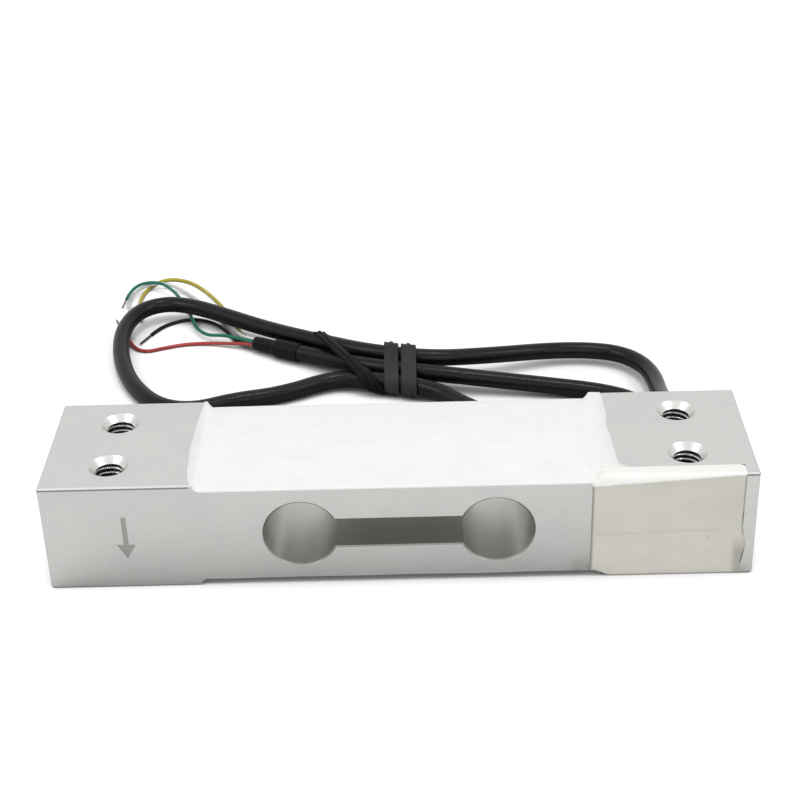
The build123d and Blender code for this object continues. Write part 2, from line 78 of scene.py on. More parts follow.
# Route of the cable, from its end inside the beam to the end of its jacket
CABLE_ROUTE = [
    (0.0595, -0.009, 0.011),
    (0.0595, 0.007, 0.011),
    (0.05948, 0.023, 0.01098),
    (0.0557, 0.034, 0.0078),
    (0.0555, 0.0435, 0.0048),
    (0.0558, 0.052, 0.0035),
    (0.0545, 0.0592, 0.0031),
    (0.05, 0.0648, 0.003),
    (0.043, 0.0669, 0.003),
    (0.034, 0.067, 0.0031),
    (0.02, 0.0628, 0.0045),
    (0.007, 0.0602, 0.0055),
    (-0.007, 0.0645, 0.0052),
    (-0.018, 0.0713, 0.0044),
    (-0.031, 0.0799, 0.0035),
    (-0.042, 0.0868, 0.004),
    (-0.049, 0.0912, 0.0041),
    (-0.0555, 0.0936, 0.004),
    (-0.0612, 0.0916, 0.0039),
    (-0.0644, 0.0862, 0.0036),
    (-0.0653, 0.0785, 0.0031),
    (-0.0642, 0.07, 0.0025),
    (-0.0614, 0.061, 0.00205),
    (-0.0572, 0.0532, 0.00195),
    (-0.0516, 0.0472, 0.00195),
    (-0.0446, 0.0458, 0.00195),
    (-0.0365, 0.0496, 0.00195),
    (-0.026, 0.0518, 0.00195),
    (-0.015, 0.0578, 0.0023),
    (-0.007, 0.056, 0.0029),
    (0.007, 0.0518, 0.0029),
    (0.014, 0.0448, 0.0021),
    (0.0225, 0.0385, 0.00195),
    (0.03, 0.032, 0.00195),
    (0.0375, 0.0276, 0.00195),
    (0.0455, 0.0274, 0.00195),
    (0.0514, 0.032, 0.00195),
    (0.0534, 0.0394, 0.00195),
    (0.0506, 0.046, 0.00195),
    (0.0436, 0.05, 0.00195),
    (0.033, 0.0522, 0.0024),
    (0.02, 0.054, 0.0033),
    (0.007, 0.0559, 0.0042),
    (-0.007, 0.0599, 0.0041),
    (-0.018, 0.0669, 0.0027),
    (-0.0282, 0.0727, 0.00235),
]

# The five loose leads: place round the jacket's middle in degrees, real length, length of the
# tinned tip, and route from the point where each leaves the sleeve's line
LEADS = {
    "white": (57, 0.0682, 0.004, [
        (-0.0376, 0.0802, 0.0019),
        (-0.0393, 0.0844, 0.0012),
        (-0.0422, 0.0898, 0.0006),
        (-0.0462, 0.0962, 0.00045),
        (-0.0506, 0.1028, 0.0005),
        (-0.0549, 0.1079, 0.0009),
        (-0.0598, 0.1106, 0.0014),
        (-0.0642, 0.1089, 0.00135),
        (-0.0669, 0.1048, 0.0007),
        (-0.067, 0.1, 0.00045),
        (-0.0657, 0.0966, 0.00045),
    ]),
    "green": (129, 0.0633, 0.004, [
        (-0.0389, 0.0787, 0.0022),
        (-0.0419, 0.0808, 0.0018),
        (-0.0456, 0.0814, 0.0015),
        (-0.0486, 0.0854, 0.00135),
        (-0.0506, 0.092, 0.0014),
        (-0.053, 0.0986, 0.0016),
        (-0.0564, 0.1046, 0.0022),
        (-0.06, 0.1088, 0.00235),
        (-0.0642, 0.1089, 0.0023),
        (-0.0669, 0.1056, 0.002),
        (-0.0675, 0.1014, 0.0015),
    ]),
    "red": (201, 0.0436, 0.009, [
        (-0.0396, 0.0778, 0.0011),
        (-0.0446, 0.0792, 0.0006),
        (-0.0504, 0.0793, 0.00045),
        (-0.0554, 0.0776, 0.00045),
        (-0.0596, 0.0758, 0.00045),
        (-0.0629, 0.0784, 0.00045),
        (-0.0654, 0.0844, 0.00045),
    ]),
    "black": (273, 0.0426, 0.005, [
        (-0.0382, 0.0794, 0.0007),
        (-0.04, 0.0824, 0.00045),
        (-0.0419, 0.0862, 0.00045),
        (-0.0454, 0.0903, 0.00045),
        (-0.0502, 0.0922, 0.00045),
        (-0.0548, 0.0904, 0.00045),
        (-0.0578, 0.0874, 0.00045),
        (-0.0592, 0.0844, 0.00045),
    ]),
    "yellow": (345, 0.0752, 0.004, [
        (-0.037, 0.0808, 0.0011),
        (-0.0384, 0.0856, 0.0006),
        (-0.0408, 0.0924, 0.00045),
        (-0.0446, 0.1002, 0.00045),
        (-0.049, 0.1078, 0.00045),
        (-0.0536, 0.113, 0.00045),
        (-0.0588, 0.1146, 0.00045),
        (-0.0624, 0.1114, 0.00045),
        (-0.0641, 0.106, 0.00045),
        (-0.0644, 0.1, 0.00045),
        (-0.0634, 0.095, 0.00045),
    ]),
}


def srgb(red, green, blue):
    """A shader colour from the 0-255 values seen on a screen."""
    parts = [value / 255 for value in (red, green, blue)]
    return [p / 12.92 if p <= 0.04045 else ((p + 0.055) / 1.055) ** 2.4 for p in parts] + [1.0]


class Shader:
    """A procedural material, built node by node round one Principled BSDF."""

    def __init__(self, name, **values):
        self.material = bpy.data.materials.new(name)
        self.material.use_nodes = True
        self.tree = self.material.node_tree
        self.bsdf = self.tree.nodes["Principled BSDF"]
        self.position = None
        for socket, value in values.items():
            self.bsdf.inputs[socket.replace("_", " ")].default_value = value

    def node(self, kind, inputs=(), **settings):
        """A new node. An input is a value, or another node's output socket."""
        made = self.tree.nodes.new("ShaderNode" + kind)
        for name, value in settings.items():
            setattr(made, name, value)
        for socket, value in dict(inputs).items():
            if isinstance(value, bpy.types.NodeSocket):
                self.tree.links.new(value, made.inputs[socket])
            else:
                made.inputs[socket].default_value = value
        return made

    def link(self, output, socket):
        """Feeds an output to a socket of the Principled BSDF."""
        self.tree.links.new(output, self.bsdf.inputs[socket])

    def place(self, scale=(1, 1, 1)):
        """The surface's own position, stretched."""
        if self.position is None:
            self.position = self.node("TexCoord").outputs["Object"]
        return self.node("Mapping", {"Vector": self.position, "Scale": scale}).outputs[0]

    def coordinates(self):
        """The surface's own X, Y and Z."""
        return self.node("SeparateXYZ", {"Vector": self.place()}).outputs

    def noise(self, scale, detail=3.0):
        """Noise whose grain has the given number of waves per metre along X, Y and Z."""
        inputs = {"Vector": self.place(scale), "Scale": 1.0, "Detail": detail, "Roughness": 0.55}
        return self.node("TexNoise", inputs).outputs[0]

    def ramp(self, value, low, high, start, end):
        """Maps a value from one range to another, held at the ends."""
        inputs = {"Value": value, 1: low, 2: high, 3: start, 4: end}
        return self.node("MapRange", inputs, clamp=True).outputs[0]

    def spread(self, noise_value, start, end):
        """Maps the range that a noise mostly keeps to, to another range."""
        return self.ramp(noise_value, 0.3, 0.7, start, end)

    def math(self, operation, first, second=0.0):
        """One arithmetic step."""
        return self.node("Math", {0: first, 1: second}, operation=operation).outputs[0]

    def all_of(self, first, *others):
        """The product of several factors."""
        for other in others:
            first = self.math("MULTIPLY", first, other)
        return first

    def any_of(self, first, *others):
        """The largest of several factors."""
        for other in others:
            first = self.math("MAXIMUM", first, other)
        return first

    def below(self, value, limit):
        """1 where a value is under a limit, and 0 elsewhere."""
        return self.math("LESS_THAN", value, limit)

    def above(self, value, limit):
        """1 where a value is over a limit, and 0 elsewhere."""
        return self.math("GREATER_THAN", value, limit)

    def within(self, value, middle, reach):
        """1 where a value lies within reach of the middle, and 0 elsewhere."""
        away = self.math("ABSOLUTE", self.math("SUBTRACT", value, middle))
        return self.below(away, reach)

    def in_box(self, values, middles, reaches):
        """1 where each value lies within its own reach of its middle, and 0 elsewhere."""
        return self.all_of(*[self.within(*axis) for axis in zip(values, middles, reaches)])

    def length(self, first, second):
        """The distance covered by two steps square to each other."""
        squares = [self.math("MULTIPLY", step, step) for step in (first, second)]
        return self.math("SQRT", self.math("ADD", *squares))

    def from_thread_axis(self, x, y):
        """Distance from the axis of the nearest threaded hole."""
        along = self.math("SUBTRACT", self.math("ABSOLUTE", x), THREAD_X)
        across = self.math("SUBTRACT", self.math("ABSOLUTE", y), THREAD_Y)
        return self.length(along, across)

    def mix(self, factor, first, second):
        """A colour between two colours."""
        inputs = {0: factor, 6: first, 7: second}
        return self.node("Mix", inputs, data_type="RGBA").outputs[2]

    def blend(self, noise_value, dark, light):
        """A colour between two screen colours, as a noise goes."""
        return self.mix(self.spread(noise_value, 0, 1), srgb(*dark), srgb(*light))

    def bump(self, height, depth):
        """Relief of the given depth in metres."""
        self.link(self.node("Bump", {"Height": height, "Distance": depth}).outputs[0], "Normal")


def skin(name, rings, material, capped=True, closed=False):
    """A smooth mesh over a row of rings that have equally many points. In a closed row the last ring
    joins the first, and an open one can be capped at both ends."""
    count = len(rings[0])
    points = [point for ring in rings for point in ring]
    faces = []
    for i in range(len(rings) if closed else len(rings) - 1):
        here = i * count
        there = (i + 1) % len(rings) * count
        for j in range(count):
            k = (j + 1) % count
            faces.append((here + j, here + k, there + k, there + j))
    if capped and not closed:
        faces.append(tuple(reversed(range(count))))
        faces.append(tuple(range((len(rings) - 1) * count, len(rings) * count)))
    mesh = bpy.data.meshes.new(name)
    mesh.from_pydata(points, [], faces)
    mesh.validate()
    mesh.update()
    mesh.shade_smooth()
    mesh.materials.append(material)
    made = bpy.data.objects.new(name, mesh)
    scene.collection.objects.link(made)
    fix_normals(made)
    return made


def fix_normals(piece):
    """Turns every face of a mesh outwards."""
    bpy.context.view_layer.objects.active = piece
    piece.select_set(True)
    bpy.ops.object.mode_set(mode="EDIT")
    bpy.ops.mesh.select_all(action="SELECT")
    bpy.ops.mesh.normals_make_consistent(inside=False)
    bpy.ops.object.mode_set(mode="OBJECT")
    piece.select_set(False)


def keep_sharp(piece, angle):
    """Keeps the edges of a smooth-shaded mesh sharp where its faces turn by more than an angle."""
    piece.data.set_sharp_from_angle(angle=math.radians(angle))


def stand_in(piece, slot, *nodes):
    """A new piece on the beam that replaces CAD nodes. Its slot is not used."""
    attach(piece, "root")
    if nodes:
        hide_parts(*nodes)
    return piece


# Materials

# Places on the beam where its tone changes, by finish, engraving and smear, and by painted shade. A reach
# goes both ways from a middle
CUT_OUT_REACH = (0.0256, 0.01496, 0.0071)
# Reach of the painted shade on the edge chamfer round the bores and slot
CUT_OUT_EDGE_SHADE_REACH = (0.026, 0.0078)
THREAD_WALL_RADIUS = 0.00304
THREAD_WALL_REACH = 0.0098
FRONT_SKIN_Y = -0.0146
BEHIND_FACE_Y = -0.01498
ARROW_MIDDLE = (-0.05, MIDDLE_Z)
ARROW_REACH = (0.004, 0.0075)
# Painted reflection: a dark line on the front face just under its top edge, beside the recesses
DARK_LINE_Z, DARK_LINE_REACH = 0.02156, 0.00017
DARK_LINE_FROM_X = 0.0376
SMEAR_X, SMEAR_END_X = (0.0305, 0.035), 0.036
SMEAR_Z = (0.0014, 0.0052)
# Painted shade in the thread roots: radii over which it fades in
THREAD_ROOT_SHADE_FADE = (0.00252, 0.0028)
# Places on the notch's silicone where its tone changes, by dirt, painted shade and painted light: from and
# to along an axis, or round a spot
# Painted shade along the left border's groove
LEFT_GROOVE_SHADE_X = (0.0351, 0.0356)
# Painted shade in the right border's crevice, above the lobe
RIGHT_CREVICE_SHADE_X, RIGHT_CREVICE_SHADE_Z = (0.0622, 0.0625), (0.0082, 0.0105)
LOW_DIRT_X, LOW_DIRT_Z = (0.0606, 0.0618), (0.005, 0.0085)
SPOT_X, SPOT_Z = 0.0563, 0.0082
SPOT_FADE = (0.0001, 0.0004)
CREASE_Z, CREASE_SLOPE = 0.0087, 0.02
# Painted shade in the crease: how it fades across and where it ends along X
CREASE_SHADE_FADE, CREASE_SHADE_END_X = (0.0001, 0.0005), (0.0575, 0.0605)
# Painted light: where the rolled top turns white, along a slanted line and in a corner at the left
LIT_ROLL_Z, LIT_ROLL_SLOPE = (0.0173, 0.0177), 0.066
LIT_CORNER_X, LIT_CORNER_Z = 0.0385, 0.01995
# How light scatters in silicone: evenly for every colour, about a millimetre deep
SCATTER = {"Subsurface_Radius": (1, 1, 1), "Subsurface_Scale": 0.001}


def aluminium():
    """Milled aluminium: satin, with a cut-out darkened by a duller finish and by painted shade, painted
    shade on the threads' walls and the cut-out's edges, a painted dark reflection line under the front top
    edge, an engraving and a smear.
    """
    m = Shader("milled_aluminium", Metallic=1.0)
    streaks = m.noise((260, 7000, 7000), detail=4)
    grain = m.noise((9000, 9000, 9000), detail=2)
    cloud = m.noise((45, 60, 60), detail=3)
    tone = m.blend(streaks, (201, 201, 199), (213, 213, 210))
    tone = m.mix(m.ramp(cloud, 0.35, 0.65, 0, 0.4), tone, srgb(196, 197, 195))
    x, y, z = m.coordinates()
    # Inside the bores and slot the tone is darker: partly a duller bored finish, partly painted shade
    cut_out_finish_and_shade = m.in_box((x, y, z), (0, 0, MIDDLE_Z), CUT_OUT_REACH)
    tone = m.mix(cut_out_finish_and_shade, tone, srgb(194, 194, 190))
    # Painted shade: the walls of the threaded holes darkened
    near_axis = m.below(m.from_thread_axis(x, y), THREAD_WALL_RADIUS)
    thread_wall_shade = m.all_of(near_axis, m.within(z, MIDDLE_Z, THREAD_WALL_REACH))
    tone = m.mix(thread_wall_shade, tone, srgb(104, 104, 102))
    front = m.below(y, FRONT_SKIN_Y)
    behind_face = m.all_of(front, m.above(y, BEHIND_FACE_Y))
    # Painted shade: the edge chamfer round the bores and slot darkened in place of its reflection
    cut_out_edge_shade = m.all_of(behind_face, m.in_box((x, z), (0, MIDDLE_Z), CUT_OUT_EDGE_SHADE_REACH))
    tone = m.mix(cut_out_edge_shade, tone, srgb(136, 136, 133))
    engraved = m.all_of(behind_face, m.in_box((x, z), ARROW_MIDDLE, ARROW_REACH), 0.8)
    tone = m.mix(engraved, tone, srgb(150, 150, 147))
    # Painted reflection: a dark line under the front top edge, outside the recesses
    beside_recess = m.above(m.math("ABSOLUTE", x), DARK_LINE_FROM_X)
    painted_dark_line = m.all_of(front, m.within(z, DARK_LINE_Z, DARK_LINE_REACH), beside_recess, 0.8)
    tone = m.mix(painted_dark_line, tone, srgb(112, 112, 110))
    beside_notch = m.all_of(m.ramp(x, *SMEAR_X, 0, 1), m.below(x, SMEAR_END_X))
    patchy = m.ramp(m.noise((500, 500, 700)), 0.35, 0.6, 0.35, 0.85)
    smear = m.all_of(front, beside_notch, m.ramp(z, *SMEAR_Z, 1, 0), patchy)
    tone = m.mix(smear, tone, srgb(120, 119, 114))
    m.link(tone, "Base Color")
    m.link(m.ramp(m.math("ADD", streaks, cloud), 0.6, 1.4, 0.3, 0.42), "Roughness")
    m.bump(m.math("ADD", m.all_of(streaks, 0.7), m.all_of(grain, 0.3)), 0.000012)
    return m.material


def thread_metal():
    """Cut threads: bright crests and roots darkened by painted shade, a little uneven."""
    m = Shader("thread_metal", Metallic=1.0, Roughness=0.26)
    marks = m.noise((3000, 3000, 9000), detail=2)
    x, y, _ = m.coordinates()
    tone = m.mix(marks, srgb(196, 196, 194), srgb(224, 224, 222))
    # Painted shade: the thread roots darkened
    root = m.ramp(m.from_thread_axis(x, y), *THREAD_ROOT_SHADE_FADE, 0, 1)
    m.link(m.mix(root, tone, srgb(88, 88, 86)), "Base Color")
    m.bump(marks, 0.00002)
    return m.material


def white_silicone():
    """Glossy-satin white silicone with soft ripples and a few specks."""
    m = Shader("white_silicone", Subsurface_Weight=0.15, **SCATTER)
    ripple = m.noise((180, 260, 260), detail=3)
    speck = m.noise((2600, 2600, 2600), detail=1)
    tone = m.blend(ripple, (244, 244, 242), (249, 249, 248))
    m.link(m.mix(m.ramp(speck, 0.72, 0.8, 0, 0.35), tone, srgb(228, 228, 225)), "Base Color")
    m.link(m.spread(ripple, 0.36, 0.5), "Roughness")
    m.bump(ripple, 0.00012)
    return m.material


def ivory_silicone():
    """Grey-ivory silicone with painted light making its rolled top white, painted shade along its left
    groove, its right border's crevice and its crease, and dirt at its lower right and in a spot.
    """
    m = Shader("ivory_silicone", Subsurface_Weight=0.1, **SCATTER)
    cloud = m.noise((90, 90, 130), detail=4)
    fine = m.noise((1500, 1500, 1500), detail=3)
    wobble = m.all_of(m.math("SUBTRACT", m.noise((150, 150, 150)), 0.5), 0.0025)
    x, _, z = m.coordinates()
    tone = m.blend(cloud, (204, 202, 192), (213, 211, 202))
    tone = m.mix(m.ramp(fine, 0.45, 0.7, 0, 0.3), tone, srgb(196, 194, 184))
    # Painted shade along the left groove and in the right border's crevice
    left_groove_shade = m.ramp(x, *LEFT_GROOVE_SHADE_X, 0.75, 0)
    right_crevice_shade = m.all_of(m.ramp(x, *RIGHT_CREVICE_SHADE_X, 0, 0.7), m.ramp(z, *RIGHT_CREVICE_SHADE_Z, 0, 1))
    ragged_x = m.math("ADD", x, wobble)
    low_dirt = m.all_of(m.ramp(ragged_x, *LOW_DIRT_X, 0, 0.5), m.ramp(z, *LOW_DIRT_Z, 1, 0))
    from_spot = m.length(m.math("SUBTRACT", x, SPOT_X), m.math("SUBTRACT", z, SPOT_Z))
    spot = m.ramp(from_spot, *SPOT_FADE, 0.35, 0)
    crease_z = m.math("ADD", m.all_of(x, CREASE_SLOPE), CREASE_Z)
    from_crease = m.math("ABSOLUTE", m.math("SUBTRACT", z, crease_z))
    # Painted shade along the crease
    crease_shade = m.all_of(m.ramp(from_crease, *CREASE_SHADE_FADE, 1, 0), m.ramp(x, *CREASE_SHADE_END_X, 1, 0))
    crease_shade = m.all_of(crease_shade, m.ramp(fine, 0.35, 0.6, 0.02, 0.12))
    # Dirt at the lower right and in a spot, together with painted shade in the groove, crevice and crease
    dirt_and_shade = m.any_of(left_groove_shade, right_crevice_shade, low_dirt, spot, crease_shade)
    tone = m.mix(dirt_and_shade, tone, srgb(120, 118, 112))
    # Painted light: the rolled top white, as lit from above
    ragged_z = m.math("ADD", z, m.all_of(wobble, 0.15))
    lit_roll_z = m.math("ADD", m.all_of(x, -LIT_ROLL_SLOPE), ragged_z)
    lit_corner = m.all_of(m.above(z, LIT_CORNER_Z), m.below(x, LIT_CORNER_X))
    painted_lit_top = m.any_of(m.ramp(lit_roll_z, *LIT_ROLL_Z, 0, 1), lit_corner)
    m.link(m.mix(painted_lit_top, tone, srgb(245, 245, 242)), "Base Color")
    m.link(m.spread(cloud, 0.42, 0.58), "Roughness")
    m.bump(m.math("ADD", cloud, m.all_of(fine, 0.15)), 0.00015)
    return m.material


def plastic(name, dark, light, roughness, grain=(1400, 1400, 1400), depth=0.00001, gloss=0.3):
    """Moulded or extruded plastic whose tone, gloss and relief all vary a little."""
    m = Shader(name, Specular_IOR_Level=gloss)
    cloud = m.noise((120, 120, 120), detail=3)
    fine = m.noise(grain, detail=3)
    m.link(m.blend(cloud, dark, light), "Base Color")
    m.link(m.spread(fine, roughness - 0.05, roughness + 0.06), "Roughness")
    m.bump(fine, depth)
    return m.material


def metal(name, dark, light, roughness):
    """Bare metal with uneven tone."""
    m = Shader(name, Metallic=1.0)
    fine = m.noise((2500, 2500, 2500), detail=3)
    m.link(m.blend(fine, dark, light), "Base Color")
    m.link(m.spread(fine, roughness - 0.06, roughness + 0.06), "Roughness")
    m.bump(fine, 0.00002)
    return m.material


def gauge_film():
    """Amber film with a slightly uneven tone."""
    m = Shader("gauge_film", Roughness=0.35)
    tone = m.noise((900, 900, 900), detail=2)
    m.link(m.mix(tone, srgb(196, 138, 62), srgb(214, 158, 82)), "Base Color")
    m.bump(tone, 0.00001)
    return m.material


beam_metal = aluminium()
ridge_metal = thread_metal()
silicone_white = white_silicone()
silicone_ivory = ivory_silicone()
solder = metal("solder", (176, 176, 172), (212, 212, 208), 0.28)
tinned = metal("tinned_copper", (92, 88, 82), (150, 146, 138), 0.38)
dark_tinned = metal("dull_tinned_copper", (52, 51, 50), (84, 83, 80), 0.45)
board = plastic("board_green", (22, 84, 52), (30, 100, 62), 0.4)
resistor = plastic("resistor_black", (18, 18, 20), (34, 34, 36), 0.3)
enamel = plastic("enamelled_wire", (120, 34, 20), (150, 50, 28), 0.25)
jacket = plastic(
    "cable_black", (10, 10, 14), (17, 18, 22), 0.3, grain=(2600, 2600, 2600), depth=0.00002, gloss=0.2
)
sleeve_plastic = plastic("sleeve_black", (12, 12, 15), (20, 21, 24), 0.4, depth=0.00003, gloss=0.1)
tie_plastic = plastic(
    "tie_grey", (32, 34, 35), (50, 52, 54), 0.48, grain=(5200, 500, 500), depth=0.00008, gloss=0.2
)
tail_plastic = plastic(
    "tail_dark", (9, 10, 11), (17, 18, 19), 0.48, grain=(900, 900, 900), depth=0.00006, gloss=0.08
)
lead_plastic = {
    "white": plastic("lead_white", (214, 216, 214), (232, 233, 230), 0.35),
    "green": plastic("lead_green", (20, 104, 84), (34, 124, 102), 0.32),
    "red": plastic("lead_red", (158, 54, 52), (182, 72, 68), 0.32),
    "black": plastic("lead_black", (14, 14, 17), (26, 26, 29), 0.34, gloss=0.2),
    "yellow": plastic("lead_yellow", (170, 158, 48), (196, 182, 66), 0.34),
}

node_looks = {
    "beam_body": beam_metal,
    "solder_pads_top": solder,
    "solder_pads_bottom": solder,
    "lead_solder_joints": solder,
    "wire_solder_joints": solder,
    "gauge_wires_top": enamel,
    "gauge_wires_bottom": enamel,
    "trim_board": board,
    "trim_resistors": resistor,
    "bottom_sealant": silicone_white,
    "top_sealant": silicone_white,
    "side_sealant": silicone_ivory,
    "exit_bead": silicone_ivory,
}
for colour, look in lead_plastic.items():
    node_looks[f"inner_lead_{colour}"] = look
film = gauge_film()
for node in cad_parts:
    if node.startswith("strain_gauge"):
        node_looks[node] = film
for node, look in node_looks.items():
    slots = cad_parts[node].data.materials
    slots.clear()
    slots.append(look)


# Threads

RIDGE_LOW, RIDGE_HIGH = 0.0016, 0.0204
RIDGE_IN_WALL = 0.00002
# Radius and depth below the face, from the foot of the CAD countersink to the thread's crests
MOUTH_PROFILE = [(0.00302, 0.00066), (0.0025, 0.0012), (0.0025, 0.00135), (0.00302, 0.0018)]


def round_hole(centre, angle, outline):
    """The points of an outline of (radius, height) pairs, at an angle round a hole's axis."""
    x, y = centre
    return [(x + radius * math.cos(angle), y + radius * math.sin(angle), z) for radius, z in outline]


def thread_ridge(name, centre):
    """The helical ridge of one threaded hole. It rises and ends within half a turn."""
    steps_per_turn = 40
    steps = round((RIDGE_HIGH - RIDGE_LOW) / THREAD_PITCH * steps_per_turn)
    half_root = THREAD_PITCH * 0.44
    half_crest = THREAD_PITCH * 0.09
    root = THREAD_ROOT_RADIUS + RIDGE_IN_WALL
    rings = []
    for step in range(steps + 1):
        z = RIDGE_LOW + (RIDGE_HIGH - RIDGE_LOW) * step / steps
        fade = min(1, step / (steps_per_turn / 2), (steps - step) / (steps_per_turn / 2))
        crest = root - (root - THREAD_CREST_RADIUS) * max(fade, 0.05)
        outline = [
            (root, z - half_root), (crest, z - half_crest), (crest, z + half_crest), (root, z + half_root),
        ]
        rings.append(round_hole(centre, math.tau * step / steps_per_turn, outline))
    return skin(name, rings, ridge_metal)


def thread_mouth(name, centre, face_z, inwards):
    """The countersink's lowest part, cut through the first turn down to the thread's crests."""
    corners = 48
    outline = [(radius, face_z + inwards * depth) for radius, depth in MOUTH_PROFILE]
    rings = [round_hole(centre, math.tau * corner / corners, outline) for corner in range(corners)]
    return skin(name, rings, beam_metal, closed=True)


for number, centre in enumerate(THREAD_PLACES, 1):
    pieces = [
        thread_ridge(f"thread_{number}", centre),
        thread_mouth(f"upper_mouth_{number}", centre, BEAM_HEIGHT, -1),
        thread_mouth(f"lower_mouth_{number}", centre, 0, 1),
    ]
    for piece in pieces:
        keep_sharp(piece, 25)
        stand_in(piece, "beam_aluminium")


# Cable and leads


def cord_curve(name, route, diameter, material):
    """A cord as one NURBS spline through its route's control points."""
    curve = bpy.data.curves.new(name, "CURVE")
    curve.dimensions = "3D"
    spline = curve.splines.new("NURBS")
    spline.points.add(len(route) - 1)
    for control, point in zip(spline.points, route):
        control.co = (*point, 1.0)
    spline.order_u = 3
    spline.use_endpoint_u = True
    spline.resolution_u = 10
    curve.bevel_depth = diameter / 2
    curve.bevel_resolution = 5
    curve.use_fill_caps = True
    curve.materials.append(material)
    made = bpy.data.objects.new(name, curve)
    scene.collection.objects.link(made)
    return made


def centreline(cord):
    """The points along a cord's spline, read from it without its thickness."""
    bare = cord.copy()
    bare.data = cord.data.copy()
    bare.data.bevel_depth = 0
    bare.data.use_fill_caps = False
    mesh = bpy.data.meshes.new_from_object(bare)
    points = [vertex.co.copy() for vertex in mesh.vertices]
    bpy.data.objects.remove(bare)
    bpy.data.meshes.remove(mesh)
    return points


def square_to(direction):
    """Two directions square to a direction: a level one, and the one that goes up from it."""
    side = direction.cross(Vector((0, 0, 1))).normalized()
    return side, side.cross(direction)


cable = cord_curve("cable", CABLE_ROUTE, CABLE_DIAMETER, jacket)
cable_line = centreline(cable)
stand_in(cable, "cable_black", "cable_jacket")

jacket_end = Vector(CABLE_ROUTE[-1])
sleeve_direction = (jacket_end - Vector(CABLE_ROUTE[-2])).normalized()
sleeve_side, sleeve_up = square_to(sleeve_direction)


def lead_route(angle, route):
    """Control points of one loose lead: two on its straight run in the sleeve, then its route."""
    turned = math.radians(angle)
    start = jacket_end + (sleeve_side * math.cos(turned) + sleeve_up * math.sin(turned)) * LEAD_RING_RADIUS
    leaves = start + sleeve_direction * LEAD_STRAIGHT
    reach = (Vector(route[0]) - leaves).length
    return [start, leaves - sleeve_direction * reach, leaves] + [Vector(point) for point in route]


def tinned_tip(name, start, direction, length, look):
    """Twisted bare strands, drawn in at their end."""
    side, up = square_to(direction)
    steps = 28
    corners = 28
    rings = []
    for step in range(steps + 1):
        along = step / steps
        twist = along * length / TIP_TWIST_PITCH * math.tau
        swell = TIP_RADIUS * (0.94 - 0.5 * max(0, along - 0.93) / 0.07)
        ring = []
        for corner in range(corners):
            angle = math.tau * corner / corners
            radius = swell * (0.88 + 0.12 * math.cos(TIP_STRANDS * (angle - twist)))
            across = side * math.cos(angle) + up * math.sin(angle)
            ring.append(start + direction * (along * length) + across * radius)
        rings.append(ring)
    return skin(name, rings, look)


for colour, (angle, length, tip_length, route) in LEADS.items():
    controls = lead_route(angle, route)
    lead = cord_curve(f"loose_lead_{colour}", controls, LEAD_DIAMETER, lead_plastic[colour])
    stand_in(lead, f"lead_{colour}", f"lead_{colour}")
    end_direction = (controls[-1] - controls[-2]).normalized()
    tip_look = dark_tinned if colour == "black" else tinned
    tip = tinned_tip(f"bare_end_{colour}", controls[-1], end_direction, tip_length, tip_look)
    stand_in(tip, "tinned_copper", f"tip_{colour}")


# Shrink sleeve

# Place along the sleeve from the jacket's end, and radius there, in millimetres
SLEEVE_PROFILE = [
    (-6.0, 1.93), (-6.0, 2.1), (-5.9, 2.15), (-5.2, 2.13), (-3.5, 2.15), (-1.6, 2.14), (-0.3, 2.16),
    (0.2, 2.1), (0.6, 1.92), (1.0, 1.7), (1.5, 1.6), (2.6, 1.58), (4.2, 1.6), (5.7, 1.58),
    (6.2, 1.56), (6.3, 1.48), (6.3, 1.22), (6.0, 1.2), (3.0, 1.2),
]
SLEEVE_WRINKLE = 0.03


def back_along(points, distance):
    """The point and direction at a distance back from the end of a line of points."""
    for after, before in zip(reversed(points), reversed(points[:-1])):
        step = (after - before).length
        if distance <= step:
            return after.lerp(before, distance / step), (after - before).normalized()
        distance -= step


def sleeve_mesh():
    """Sleeve shrunk on the jacket, stepping down to a narrow neck round the leads."""
    corners = 40
    rings = []
    for distance, radius in SLEEVE_PROFILE:
        if distance < 0:
            middle, direction = back_along(cable_line, -distance * MM)
        else:
            middle, direction = jacket_end + sleeve_direction * (distance * MM), sleeve_direction
        side, up = square_to(direction)
        ring = []
        for corner in range(corners):
            angle = math.tau * corner / corners
            across = side * math.cos(angle) + up * math.sin(angle)
            noise_place = Vector((distance * 0.8, 3 * math.cos(angle), 3 * math.sin(angle)))
            wrinkle = noise.noise(noise_place) * SLEEVE_WRINKLE
            ring.append(middle + across * ((radius + wrinkle) * MM))
        rings.append(ring)
    return skin("sleeve", rings, sleeve_plastic, capped=False)


sleeve = sleeve_mesh()
keep_sharp(sleeve, 50)
stand_in(sleeve, "sleeve_black", "shrink_sleeve")


# Twist tie

TIE_GAP = 0.00025
TIE_LOWEST = 0.00005
TIE_UNEVEN = 0.04
# Name, middle along X and half the width of each band
BANDS = [("front_band", -0.0019, 0.0016), ("rear_band", 0.00195, 0.0017)]
# Place across the tie, from edge to edge, and height over its underside in millimetres
TIE_PROFILE = [
    (-1.0, 0.0), (-1.0, 0.36), (-0.93, 0.52), (-0.8, 0.56), (-0.55, 0.5), (-0.34, 0.52), (-0.24, 0.68),
    (-0.1, 0.8), (0.1, 0.8), (0.24, 0.68), (0.34, 0.52), (0.55, 0.5), (0.8, 0.56), (0.93, 0.52),
    (1.0, 0.36), (1.0, 0.0),
]
